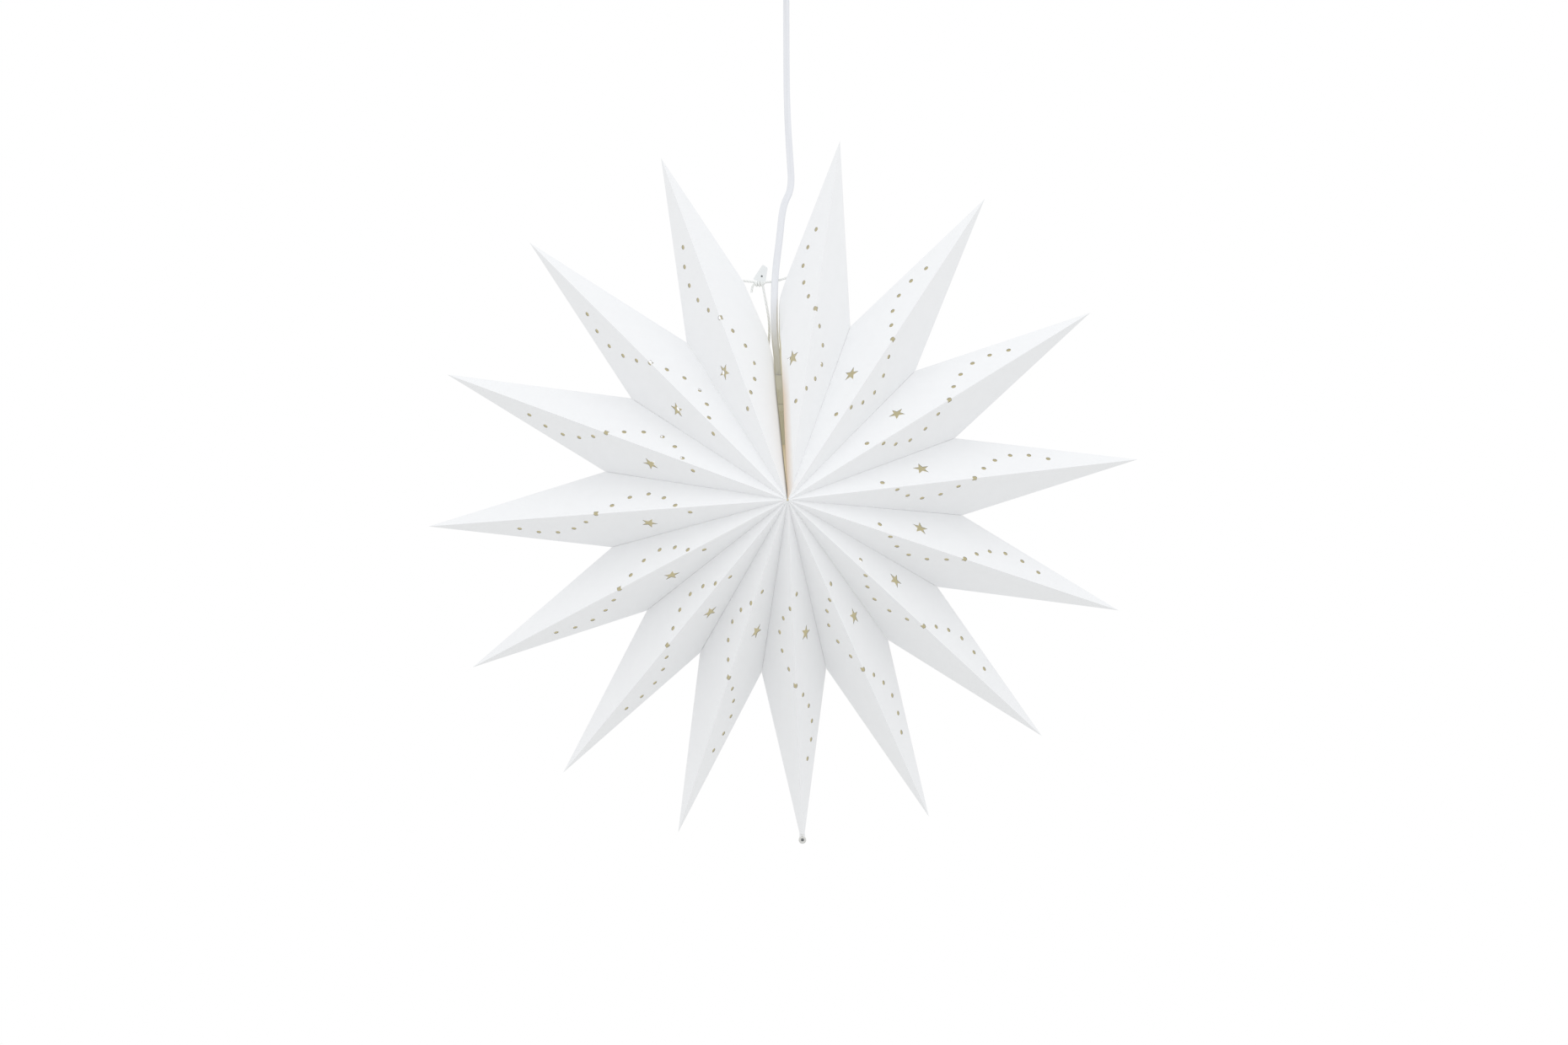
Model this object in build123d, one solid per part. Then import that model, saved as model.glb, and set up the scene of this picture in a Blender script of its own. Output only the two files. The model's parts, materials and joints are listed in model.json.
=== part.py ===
from build123d import *
from math import cos, exp, hypot, pi, radians, sin, tan
import os

# A folding paper star pendant. Fifteen hollow card arms are glued edge to edge
# round one axis, so that the star folds flat like a concertina. The two end arms
# meet at an open slit on top, where a string ties them round the flat cord. The
# cord carries a small lampholder and bulb in the middle of the star, and hangs
# from a ceiling cup. Millimetres, +Z up, front towards -Y. The origin is the
# middle of the ceiling plate's upper face.

# Paper star
arm_count = 15
star_radius = 300.0        # axis to the points of the arms
half_depth = 95.0          # middle plane to the front or back apex
notch_radius = 151.6       # axis to the notch between two arms
card = 0.45                # thickness of the card
glue_gap = 0.15            # each arm's edge to the middle of its glued joint
glue_margin = 6.0          # width of the margins turned into the star and glued together
margin_start = 9.0         # axis to where the margins begin
point_blunt = 1.5          # cut off the point of each arm
apex_hole = 2.2            # radius left open where all the arms meet
apex_hole_sides = 8
star_drop = 500.0          # ceiling to the star's axis
star_shift = -1.85         # the axis lies a little left of the ceiling point

# How the arms spread round the axis, in degrees clockwise from straight up
seam_angle = 29.07         # between the ridges of the last and the first arm
first_ridge = 9.0
hang_pinch = 0.19          # share by which the lowest arms hang closer together
pinch_reach = 2.58         # arms over which that fades
pinch_offset = 0.52        # arms past the middle one where they hang closest

# The slit on top, whose corners are cut back for the cord
mouth_radius = 182.0
throat_radius = 135.0
mouth_angles = (-10.8, 0.7)
throat_angles = (-6.3, -1.3)

# Punched pattern of each face of an arm, along and across its ridge
dot_radius = 2.0
dot_sides = 6
dot_count = 12
dot_pitch = 16.38
first_dot = 86.1
wave_start = 92.2
wave_length = 135.7
wave_stretch = 0.174
wave_height = 23.4
wave_offset = -1.6
star_cut_radius = 7.3
star_cut_waist = 2.9
star_cut_along = 125.6
star_cut_across = 20.7

# Eyelet in the pressed end of the lowest arm
eyelet_arm = arm_count // 2 + 1
pressed_inset = 11.0       # an arm's point to where this arm is pressed flat
pressed_overlap = 6.0      # the flat end's length inside the arm
eyelet_inset = 6.4         # an arm's point to the eyelet's middle
eyelet_radius = 3.15
eyelet_rim = 0.25          # card left round the eyelet
eyelet_hole = 1.1
eyelet_barrel = 1.55
eyelet_flange = 0.4
eyelet_fit = 0.05

# Flat twin cord, and its route as (sideways, above the star's axis)
cord_width = 5.8
cord_thick = 3.2
cord_bevel = 0.9           # at its four edges
cord_gap = 0.3             # round the cord in every hole that it runs through
cord_route = [
    (0.0, 360.0), (0.9, 318.0), (2.9, 284.0), (4.9, 256.5), (-2.9, 242.5), (-5.6, 214.0),
    (-9.3, 186.0), (-10.2, 158.0), (-9.6, 130.0), (-7.2, 112.0),
]

# Lampholder and bulb, from the holder's top downwards
holder_top = 100.0         # above the star's axis
holder_shift = -6.6        # sideways, under the end of the cord
holder_radius = 14.0
holder_wall = 2.2
holder_neck = 6.5          # radius of the top
holder_shoulder = 10.0     # height of the cone under it
holder_grip = 6.0          # straight part of the lower moulding
holder_taper = 1.6         # how far that narrows below
holder_sides = 24
cap_height = 24.0
body_height = 34.0
body_floor = 3.0
socket_radius = 7.25
sleeve_wall = 0.5
sleeve_length = 22.0
holder_mouth = 10.6        # inner radius where the bulb's neck goes in
contact_radius = 2.6
contact_tip_radius = 1.6
contact_height = 2.2
cord_entry = 7.0           # the cord's end below the holder's top
bulb_gap = 0.3
bulb_cap_radius = 6.9
bulb_cap_length = 18.0
bulb_cap_shoulder = 2.5
bulb_tip_radius = 3.0
bulb_tip_top = 1.8         # radius of its top
bulb_tip_height = 1.6
bulb_neck_radius = 8.6
bulb_neck_length = 8.0
bulb_neck_flare = 0.8
bulb_shoulder = 50.0       # where the neck meets the ball, in degrees above its middle
bulb_bands = 6             # flat bands and sides that the ball is drawn with
bulb_sides = 24
bulb_rise = -86.0          # where the ball ends below, in degrees
bulb_radius = 22.5
bulb_length = 80.0         # from its tip to the end of the glass
glass_wall = 0.8

# String tied round the cord
string_radius = 0.95
string_sides = 8
string_hitch = 0.8         # the string's end past each mouth corner, behind the arm
seat_gap = 0.3             # between pieces that move apart
knot_centre = (-22.2, 175.7)
knot_length = 9.0
knot_radius = 2.3
knot_end_radius = 1.4
knot_barrel = 3.6          # length of its thick middle
toggle_corners = [(-28.2, 180.3), (-19.7, 193.0), (-15.4, 190.2), (-17.5, 176.7)]
toggle_corner_radius = 1.2
toggle_thick = 1.6
toggle_hole = 1.0
toggle_hole_at = (-20.4, 183.1)
tail_route = [(-19.3, 173.6), (-16.6, 160.0), (-14.2, 146.0), (-14.0, 132.0), (-15.2, 120.0)]

# Ceiling plate, terminal block and cup
plate_radius = 42.0
plate_thick = 1.5
plate_screw_spacing = 60.0
plate_screw_hole = 2.3
plate_cable_hole = 6.0
block_length = 26.0
block_width = 15.0
block_height = 12.0
block_place = 19.0         # behind the middle of the plate
block_screw_radius = 1.9
block_screw_pitch = 12.0
block_corner = 1.5
block_screw_length = 2.0
block_screw_well = 4.0     # depth of the hole that holds it
core_radius = 1.1
cup_radius = 48.0
cup_height = 44.0
cup_wall = 2.0
cup_taper = 6.0            # how far the cup narrows down to its rounding
cup_round = 8.0            # height of the rounding
cup_floor_radius = 30.0
cup_sides = 40
cup_mouth_gap = 0.5        # between the cup's rim and the ceiling
gland_radius = 6.0
gland_flange_radius = 9.0
gland_flange = 2.5
gland_length = 18.0
thread_stands = 1.0        # of the gland's thread above its nut
nut_radius = 9.0
nut_height = 3.5
grip_screw_radius = 1.75
grip_screw_head = 3.4      # radius of its knurled head
grip_screw_grip = 3.0      # and that head's length
grip_screw_length = 9.0
grip_screw_place = 0.6     # how far down the gland it sits, as a share
thread_fit = 0.05
cord_in_cup = 26.0         # cord that stands above the cup's floor
bracket_width = 12.0
bracket_thick = 1.5
bracket_drop = 20.0        # plate to the underside of the bracket's foot
bracket_back = 10.0        # cord to the bracket's upright
bracket_reach = 5.0        # of its foot past the cord
clip_size = (9.6, 6.6, 4.5)
clip_corner = 2.0
clip_fit = 0.05

os.makedirs("parts", exist_ok=True)
star_centre = Vector(star_shift, 0, -star_drop)
pressed_end = star_radius - pressed_inset
eyelet_seat = star_radius - eyelet_inset


def save(node, shape):
    export_step(shape, f"parts/{node}.step")


def turned(outline):
    """A body of revolution about Z from its half outline, given as (radius, height)."""
    return revolve(Plane.XZ * make_face(Polyline(outline, close=True)), axis=Axis.Z)


def faceted(rings, sides):
    """A moulding drawn with flat sides through its rings, given as (radius, height)."""
    rows = [[Vector(radius, 0, height).rotate(Axis.Z, 360 * i / sides) for i in range(sides)]
            for radius, height in rings]
    faces = [Face(Wire.make_polygon(rows[0])), Face(Wire.make_polygon(rows[-1]))]
    for row, after in zip(rows, rows[1:]):
        for i in range(sides):
            faces.append(Face(Wire.make_polygon([row[i - 1], row[i], after[i], after[i - 1]])))
    return Solid(Shell(faces))


def ray(angle, radius=1.0):
    """A step in the star's middle plane, at an angle clockwise from straight up."""
    return Vector(sin(radians(angle)), 0, cos(radians(angle))) * radius


def smooth_path(points):
    """Straight runs joined by tangent arcs, each as large as its two runs allow."""
    radii = []
    for before, here, after in zip(points, points[1:], points[2:]):
        run_in, run_out = here - before, after - here
        half_turn = radians(run_in.get_angle(run_out)) / 2
        radii.append(0.45 * min(run_in.length, run_out.length) / tan(half_turn))
    print("bend radii", [round(r, 1) for r in radii])
    return FilletPolyline(*points, radius=radii)


# --- The paper star --------------------------------------------------------------


def spread_arms():
    """The angle of each arm's ridge. The lowest arms hang closer together."""
    closest = arm_count / 2 + pinch_offset
    shares = [1 - hang_pinch * exp(-(((i - closest) / pinch_reach) ** 2))
              for i in range(1, arm_count)]
    unit = (360 - seam_angle) / sum(shares)
    ridges = [first_ridge]
    for share in shares:
        ridges.append(ridges[-1] + unit * share)
    return ridges


def wave(along):
    """How far the row of dots lies from the ridge, clockwise positive."""
    run = along - wave_start
    return wave_offset + wave_height * sin(2 * pi * run / (wave_length + wave_stretch * run))


def dots():
    """Evenly spaced dots along the wave, as (along the ridge, across it)."""
    along = first_dot
    steps = 20
    for _ in range(dot_count):
        yield along, wave(along)
        for _ in range(steps):
            slope = wave(along + 0.5) - wave(along - 0.5)
            along += dot_pitch / steps / hypot(1, slope)


def star_cut(sense):
    """A five-pointed cut-out, with one point turned away from the ridge."""
    corners = []
    for i in range(10):
        reach = star_cut_waist if i % 2 else star_cut_radius
        turn = radians(sense * 90 + 36 * i)
        corners.append((reach * cos(turn), reach * sin(turn)))
    place = Pos(star_cut_along, sense * star_cut_across)
    return place * make_face(Polyline(corners, close=True))


def facet(apex, tip, pattern_side, corners, outward):
    """One punched facet of an arm. It runs from the apex to the tip along its ridge, and
    its other corners lie to one side of that. A dot on the ridge is cut in both facets."""
    facing = (tip - apex).cross(corners[0] - apex)
    if facing.dot(outward) < 0:
        facing = facing * -1
    flat = Plane(origin=apex, x_dir=tip - apex, z_dir=facing)
    edge = corners[-1] - apex
    reach = edge.cross(tip - apex).length / edge.length
    start = apex + (tip - apex) * (glue_gap / reach)
    outline = [flat.to_local_coords(point) for point in [start, tip] + corners]
    sense = 1 if outline[-1].Y > 0 else -1
    sheet = make_face(Polyline([(p.X, p.Y) for p in outline], close=True))
    for along, across in dots():
        aside = across * pattern_side
        if aside > -dot_radius:
            sheet -= Pos(along, sense * aside) * RegularPolygon(dot_radius, dot_sides)
    if pattern_side < 0:
        sheet -= star_cut(sense)
    return extrude(flat * sheet, amount=-card)


def glued_corner(apex, tip, notch):
    """The notch, drawn back along the arm's side so that its edge clears the joint."""
    edge = notch - apex
    reach = edge.cross(tip - apex).length / edge.length
    return [notch + (tip - notch) * (glue_gap / reach)]


def slit_corners(apex, tip, side):
    """The cut-back corner beside the slit: its mouth and its throat. The last arm
    has the slit on its clockwise side, and the first arm on the other."""
    end = 0 if side > 0 else 1
    mouth = star_centre + ray(mouth_angles[end], mouth_radius)
    normal = (tip - apex).cross(mouth - apex)
    throat = star_centre + ray(throat_angles[end], throat_radius)
    depth = (apex - throat).dot(normal) / normal.Y
    return [mouth, throat + Vector(0, depth, 0)]


def turned_margins(notch_angle, side):
    """The margins along one side of an arm, turned into the star and glued to its
    neighbour's. The front one and the back one meet at the notch."""
    width = glue_margin * hypot(half_depth, notch_radius) / half_depth
    outer, inner = [half_depth * (1 - (margin_start + step) / notch_radius) for step in (0, width)]
    outline = [(margin_start, -outer), (notch_radius, 0), (margin_start, outer),
               (margin_start, inner), (notch_radius - width, 0), (margin_start, -inner)]
    inward = ray(notch_angle - side * 90)
    joint = Plane(origin=star_centre + inward * glue_gap, x_dir=ray(notch_angle), z_dir=inward)
    return extrude(joint * make_face(Polyline(outline, close=True)), amount=card)


def arm(number, ridges):
    """A hollow arm of four facets, open towards the axis of the star. The pattern has the
    same hand seen from in front and from behind."""
    ridge = ridges[number - 1]
    tip = star_centre + ray(ridge, star_radius)
    walls = []
    for side in (-1, 1):
        neighbour = number - 1 + side
        glued = 0 <= neighbour < arm_count
        if glued:
            notch_angle = (ridge + ridges[neighbour]) / 2
            notch = star_centre + ray(notch_angle, notch_radius)
            walls.append(turned_margins(notch_angle, side))
        for face in (-1, 1):
            apex = star_centre + Vector(0, face * half_depth, 0)
            corners = glued_corner(apex, tip, notch) if glued else slit_corners(apex, tip, side)
            outward = Vector(0, face, 0) + ray(ridge + side * 90)
            walls.append(facet(apex, tip, -face * side, corners, outward))
    end = pressed_end if number == eyelet_arm else star_radius - point_blunt
    beyond = Plane(origin=star_centre + ray(ridge, end), z_dir=ray(ridge))
    shell = split(walls[0] + walls[1:], beyond, keep=Keep.BOTTOM)
    shell -= extrude(Plane(origin=star_centre, z_dir=(0, 1, 0))
                     * RegularPolygon(apex_hole, apex_hole_sides), amount=2 * half_depth, both=True)
    if number == eyelet_arm:
        shell += pressed_tab(ridge)
    return shell


def pressed_tab(ridge):
    """The flat end of the lowest arm, both layers of card pressed together."""
    across = Plane(origin=star_centre, x_dir=ray(ridge), z_dir=(0, -1, 0))
    radius = eyelet_radius + eyelet_rim
    start = pressed_end - pressed_overlap
    strip = Pos((start + eyelet_seat) / 2, 0) * Rectangle(eyelet_seat - start, 2 * radius)
    tab = strip + Pos(eyelet_seat, 0) * Circle(radius)
    tab -= Pos(eyelet_seat, 0) * Circle(eyelet_barrel + eyelet_fit)
    return extrude(across * tab, amount=card, both=True)


def eyelet(ridge):
    """A rolled metal eyelet through the pressed end."""
    outer = card + eyelet_flange
    half = [
        (eyelet_hole, -outer), (eyelet_radius - eyelet_flange, -outer), (eyelet_radius, -card),
        (eyelet_barrel, -card), (eyelet_barrel, card), (eyelet_radius, card),
        (eyelet_radius - eyelet_flange, outer), (eyelet_hole, outer),
    ]
    seat = Plane(origin=star_centre + ray(ridge, eyelet_seat), z_dir=(0, -1, 0))
    return seat * turned(half)


ridges = spread_arms()
print("arm ridges", [round(angle, 1) for angle in ridges])
for number in range(1, arm_count + 1):
    save(f"arm_{number:02d}", arm(number, ridges))
save("tip_eyelet", eyelet(ridges[eyelet_arm - 1]))

# --- The string round the cord ---------------------------------------------------


def in_star(sideways, above, depth=0.0):
    """A point given sideways from the ceiling point and above the star's axis."""
    return Vector(sideways, depth, above - star_drop)


def tube(points, radius):
    path = smooth_path(points) if len(points) > 2 else Line(*points)
    section = Plane(origin=path @ 0, z_dir=path % 0) * RegularPolygon(radius, string_sides)
    return sweep(section, path=path)


behind_cord = cord_thick / 2 + seat_gap + string_radius
knot_middle = in_star(*knot_centre, behind_cord)
knot_end = Vector(knot_length / 2, 0, 0)
knot = Pos(knot_middle) * Rot(0, 90, 0) * faceted(
    [(knot_end_radius, -knot_length / 2), (knot_radius, -knot_barrel / 2),
     (knot_radius, knot_barrel / 2), (knot_end_radius, knot_length / 2)], string_sides)
save("tie_knot", knot)

knot_gap = Vector(seat_gap, 0, 0)
hitch = Vector(string_hitch, 0, 0)
mouth_left, mouth_right = [
    star_centre + ray(angle, mouth_radius) + Vector(0, behind_cord, 0) for angle in mouth_angles]
save("tie_string_left", tube([mouth_left - hitch, knot_middle - knot_end - knot_gap],
                             string_radius))
save("tie_string_right", tube([knot_middle + knot_end + knot_gap, mouth_right + hitch],
                              string_radius))

upright = Plane(origin=in_star(0, 0, behind_cord), x_dir=(1, 0, 0), z_dir=(0, -1, 0))
toggle = fillet(make_face(Polyline(toggle_corners, close=True)).vertices(), toggle_corner_radius)
toggle -= Pos(*toggle_hole_at) * Circle(toggle_hole)
save("tie_toggle", extrude(upright * toggle, amount=toggle_thick / 2, both=True) - knot)
tail = [in_star(*point, behind_cord) for point in tail_route]
save("tie_tail", tube(tail, string_radius))

# --- The cord, lampholder and bulb -----------------------------------------------

cup_floor = -cup_mouth_gap - cup_height
holder_axis = Pos(holder_shift, 0, holder_top - star_drop)
cord_start = Vector(0, 0, cup_floor + cup_wall + cord_in_cup)
cord_end = in_star(holder_shift, holder_top - cord_entry)
cord_points = [cord_start] + [in_star(*point) for point in cord_route] + [cord_end]
cord_path = smooth_path(cord_points)
cord_section = chamfer(Rectangle(cord_width, cord_thick).vertices(), cord_bevel)
cord = sweep(Pos(cord_start) * cord_section, path=cord_path)
print("cord length", round(cord_path.length, 1), "volume against section times length",
      round(cord.volume / cord_section.area / cord_path.length, 4))
save("supply_cord", cord)

cord_hole = Rectangle(cord_width + 2 * cord_gap, cord_thick + 2 * cord_gap)
cap = faceted([(holder_neck, 0), (holder_radius, -holder_shoulder), (holder_radius, -cap_height)],
              holder_sides)
cap -= extrude(Pos(0, 0, -cap_height) * Circle(holder_radius - holder_wall),
               amount=cap_height - holder_shoulder)
cap -= extrude(cord_hole, amount=-cap_height)
save("lampholder_cap", holder_axis * cap)

mouth = -cap_height - body_height
floor = -cap_height - body_floor
sleeve_outer = socket_radius + sleeve_wall
body = faceted([(holder_radius, -cap_height), (holder_radius, -cap_height - holder_grip),
                (holder_radius - holder_taper, mouth)], holder_sides)
body -= turned([
    (0, floor), (sleeve_outer, floor), (sleeve_outer, floor - sleeve_length),
    (holder_mouth, floor - sleeve_length), (holder_mouth, mouth), (0, mouth)])
save("lampholder_body", holder_axis * body)

sleeve = turned([(socket_radius, floor), (sleeve_outer, floor),
                 (sleeve_outer, floor - sleeve_length), (socket_radius, floor - sleeve_length)])
save("socket_sleeve", holder_axis * sleeve)
contact = turned([(0, floor), (contact_radius, floor), (contact_tip_radius, floor - contact_height),
                  (0, floor - contact_height)])
save("centre_contact", holder_axis * contact)

bulb_top = floor - contact_height - bulb_gap
cap_top = bulb_top - bulb_tip_height
cap_end = cap_top - bulb_cap_length
bulb_end = bulb_top - bulb_length
bulb_middle = bulb_end + bulb_radius
save("bulb_tip", holder_axis * turned([
    (0, bulb_top), (bulb_tip_top, bulb_top), (bulb_tip_radius, cap_top), (0, cap_top)]))
save("bulb_cap", holder_axis * turned([
    (0, cap_top), (bulb_tip_radius, cap_top), (bulb_cap_radius, cap_top - bulb_cap_shoulder),
    (bulb_cap_radius, cap_end), (0, cap_end)]))


def bulb_body(inward):
    """The glass as far as its outside, or a wall's thickness inward: its neck and ball."""
    ball = bulb_radius - inward
    band = (bulb_shoulder - bulb_rise) / bulb_bands
    rises = [radians(bulb_shoulder - band * i) for i in range(bulb_bands + 1)]
    rings = [(bulb_neck_radius - inward, cap_end),
             (bulb_neck_radius - inward + bulb_neck_flare, cap_end - bulb_neck_length)]
    rings += [(ball * cos(rise), bulb_middle + ball * sin(rise)) for rise in rises]
    return faceted(rings, bulb_sides)


glass = bulb_body(0) - bulb_body(glass_wall)
save("bulb_glass", holder_axis * glass)

# --- The ceiling fitting ---------------------------------------------------------

plate = Circle(plate_radius) - Circle(plate_cable_hole)
plate -= GridLocations(plate_screw_spacing, 0, 2, 1) * Circle(plate_screw_hole)
save("ceiling_plate", extrude(plate, amount=-plate_thick))

block_seat = Pos(0, block_place, -plate_thick - block_height / 2)
block = block_seat * Box(block_length, block_width, block_height)
screws = []
for x in (-block_screw_pitch / 2, block_screw_pitch / 2):
    well = Pos(x, block_place, -plate_thick - block_height + block_screw_well)
    block -= well * Cylinder(block_screw_radius + cord_gap, 2 * block_screw_well)
    screws.append(well * Pos(0, 0, -block_screw_length / 2)
                  * Cylinder(block_screw_radius, block_screw_length))
save("terminal_block", fillet(block.edges().filter_by(Axis.Z).group_by(Axis.X)[0], block_corner))
save("terminal_screws", Compound(children=screws))



def cup_body(inward):
    """The cup as far as its outside, or a wall's thickness inward."""
    return faceted([(cup_radius - inward, -cup_mouth_gap),
                    (cup_radius - cup_taper - inward, cup_floor + cup_round + inward / 2),
                    (cup_floor_radius - inward / 2, cup_floor + inward)], cup_sides)


cup = cup_body(0) - cup_body(cup_wall)
cup -= Pos(0, 0, cup_floor) * Cylinder(gland_radius + thread_fit, 4 * cup_wall)
save("ceiling_cup", cup)

gland_end = cup_floor - gland_length
gland_top = cup_floor + cup_wall + nut_height + thread_stands
gland = turned([
    (0, gland_top), (gland_radius, gland_top), (gland_radius, cup_floor),
    (gland_flange_radius, cup_floor), (gland_flange_radius, cup_floor - gland_flange),
    (gland_radius, cup_floor - gland_flange), (gland_radius, gland_end), (0, gland_end)])
gland -= Pos(0, 0, gland_top) * extrude(cord_hole, amount=gland_end - gland_top)
from_start = (Align.CENTER, Align.CENTER, Align.MIN)
grip_seat = Pos(0, 0, cup_floor - gland_length * grip_screw_place) * Rot(90, 0, 0)
gland -= grip_seat * Cylinder(grip_screw_radius + thread_fit, gland_radius, align=from_start)
save("cord_gland", gland)
nut = extrude(RegularPolygon(nut_radius, 6) - Circle(gland_radius + thread_fit), amount=nut_height)
save("gland_nut", Pos(0, 0, cup_floor + cup_wall) * nut)
screw = Cylinder(grip_screw_radius, grip_screw_length, align=from_start)
screw += Pos(0, 0, grip_screw_length) * Cylinder(grip_screw_head, grip_screw_grip, align=from_start)
save("grip_screw", grip_seat * Pos(0, 0, cord_thick / 2 + cord_gap) * screw)

# The bracket carries the cord by a clip pressed on above its foot.
foot_top = -plate_thick - bracket_drop + bracket_thick
upright = Pos(0, -bracket_back, -plate_thick) * Box(
    bracket_width, bracket_thick, bracket_drop, align=(Align.CENTER, Align.MAX, Align.MAX))
foot = Pos(0, -bracket_back - bracket_thick, foot_top) * Box(
    bracket_width, bracket_back + bracket_thick + bracket_reach, bracket_thick,
    align=(Align.CENTER, Align.MIN, Align.MAX))
save("cord_bracket", upright + foot - Pos(0, 0, foot_top) * extrude(cord_hole, amount=-bracket_drop))
clip = Pos(0, 0, foot_top) * Box(*clip_size, align=(Align.CENTER, Align.CENTER, Align.MIN))
clip = fillet(clip.edges().filter_by(Axis.Z), clip_corner)
clip -= Pos(0, 0, foot_top) * extrude(
    Rectangle(cord_width + 2 * clip_fit, cord_thick + 2 * clip_fit), amount=clip_size[2])
save("strain_clip", clip)

cores = []
for side in (-1, 1):
    start = cord_start + Vector(side * cord_thick / 2, 0, 0)
    end = Vector(side * block_screw_pitch / 2, block_place - block_width / 2,
                 -plate_thick - block_height / 2)
    rise = Vector(0, 0, (end.Z - start.Z) / 2)
    lead_in = Vector(0, (end.Y - start.Y) / 2, 0)
    cores.append(tube([start, start + rise, end - lead_in, end], core_radius))
save("cord_cores", Compound(children=cores))
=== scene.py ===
import bpy
import json
from math import atan2, cos, degrees, hypot, pi, radians, sin
from mathutils import Matrix, Vector

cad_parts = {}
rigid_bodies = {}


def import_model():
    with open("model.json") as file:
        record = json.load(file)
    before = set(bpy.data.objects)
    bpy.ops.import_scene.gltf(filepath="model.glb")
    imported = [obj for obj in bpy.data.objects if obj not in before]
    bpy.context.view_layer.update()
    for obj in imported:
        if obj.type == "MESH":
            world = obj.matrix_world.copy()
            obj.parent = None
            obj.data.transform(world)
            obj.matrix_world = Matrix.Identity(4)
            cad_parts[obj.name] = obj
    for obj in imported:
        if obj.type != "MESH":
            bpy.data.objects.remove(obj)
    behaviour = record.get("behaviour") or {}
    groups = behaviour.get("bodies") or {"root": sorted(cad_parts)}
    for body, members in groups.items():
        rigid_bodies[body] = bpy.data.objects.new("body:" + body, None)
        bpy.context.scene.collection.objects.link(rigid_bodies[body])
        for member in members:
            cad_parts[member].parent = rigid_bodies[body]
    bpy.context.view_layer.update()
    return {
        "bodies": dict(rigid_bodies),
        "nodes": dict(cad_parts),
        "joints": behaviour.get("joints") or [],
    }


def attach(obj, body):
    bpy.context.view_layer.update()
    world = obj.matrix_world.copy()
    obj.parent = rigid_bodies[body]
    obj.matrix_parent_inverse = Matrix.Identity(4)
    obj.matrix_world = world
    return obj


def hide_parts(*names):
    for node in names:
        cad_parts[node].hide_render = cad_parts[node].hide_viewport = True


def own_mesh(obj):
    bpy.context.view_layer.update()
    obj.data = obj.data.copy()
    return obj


# A folding paper star pendant: fifteen punched arms of white card round one axis, open at a
# slit on top, hung on a flat white cord. Metres, +Z up, front towards -Y.
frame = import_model()

# --- Viewpoint -------------------------------------------------------------------
# The photograph looks at the star from 3 m away, a little above its axis and a little
# to its left. The star's middle lies a few centimetres above the middle of the picture.
star_centre = Vector(next(j["pos_m"] for j in frame["joints"] if j["name"] == "star_fold"))
viewing_distance = 3.0
seen_from_above = radians(2.8)
seen_from_left = radians(1.8)
picture_middle_drop = 0.0239       # star's middle to the middle of the picture
picture_width_pixels = 1860
pixels_per_metre = 1409.0          # at the star's middle
sensor = 36.0
toward_camera = Vector((-sin(seen_from_left) * cos(seen_from_above),
                        -cos(seen_from_left) * cos(seen_from_above), sin(seen_from_above)))
bpy.ops.object.select_all(action="DESELECT")
bpy.ops.object.camera_add(location=star_centre + toward_camera * viewing_distance)
camera = bpy.context.object
camera.name = "viewpoint"
aim = star_centre - Vector((0, 0, picture_middle_drop))
camera.rotation_euler = (aim - camera.location).to_track_quat("-Z", "Y").to_euler()
camera.data.sensor_width = sensor
camera.data.lens = sensor * pixels_per_metre * viewing_distance / picture_width_pixels
camera.data.clip_end = 50
bpy.context.scene.camera = camera

# --- Room and light ---------------------------------------------------------------
# A pale floor a room's height under the ceiling, and soft light from all round with a
# broad, slightly cool panel above. The backdrop is plain white, as in the photograph.
floor_height = -2.3
floor_size = 9.0
floor_shade = (0.86, 0.86, 0.85, 1)
bpy.ops.object.select_all(action="DESELECT")
bpy.ops.mesh.primitive_plane_add(size=floor_size, location=(0, 0, floor_height))
floor = bpy.context.object
floor.name = "floor"
floor_paint = bpy.data.materials.new("pale_floor")
floor_paint.use_nodes = True
floor_paint.node_tree.nodes["Principled BSDF"].inputs["Base Color"].default_value = floor_shade
floor_paint.node_tree.nodes["Principled BSDF"].inputs["Roughness"].default_value = 0.9
floor.data.materials.append(floor_paint)

room_light = bpy.data.worlds.new("room_light")
room_light.use_nodes = True
bpy.context.scene.world = room_light
world_nodes, world_links = room_light.node_tree.nodes, room_light.node_tree.links
world_nodes.clear()
ambient = world_nodes.new("ShaderNodeBackground")
ambient.inputs["Color"].default_value = (0.985, 0.99, 1.0, 1)
ambient.inputs["Strength"].default_value = 0.945
white_wall = world_nodes.new("ShaderNodeBackground")
white_wall.inputs["Color"].default_value = (1, 1, 1, 1)
white_wall.inputs["Strength"].default_value = 1.0
light_path = world_nodes.new("ShaderNodeLightPath")
seen_or_mirrored = world_nodes.new("ShaderNodeMath")
seen_through = world_nodes.new("ShaderNodeMath")
for either in (seen_or_mirrored, seen_through):
    either.operation = "MAXIMUM"
choose = world_nodes.new("ShaderNodeMixShader")
world_out = world_nodes.new("ShaderNodeOutputWorld")
world_links.new(light_path.outputs["Is Camera Ray"], seen_or_mirrored.inputs[0])
world_links.new(light_path.outputs["Is Glossy Ray"], seen_or_mirrored.inputs[1])
world_links.new(seen_or_mirrored.outputs[0], seen_through.inputs[0])
world_links.new(light_path.outputs["Is Transmission Ray"], seen_through.inputs[1])
world_links.new(seen_through.outputs[0], choose.inputs["Fac"])
world_links.new(ambient.outputs[0], choose.inputs[1])
world_links.new(white_wall.outputs[0], choose.inputs[2])
world_links.new(choose.outputs[0], world_out.inputs["Surface"])

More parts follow.
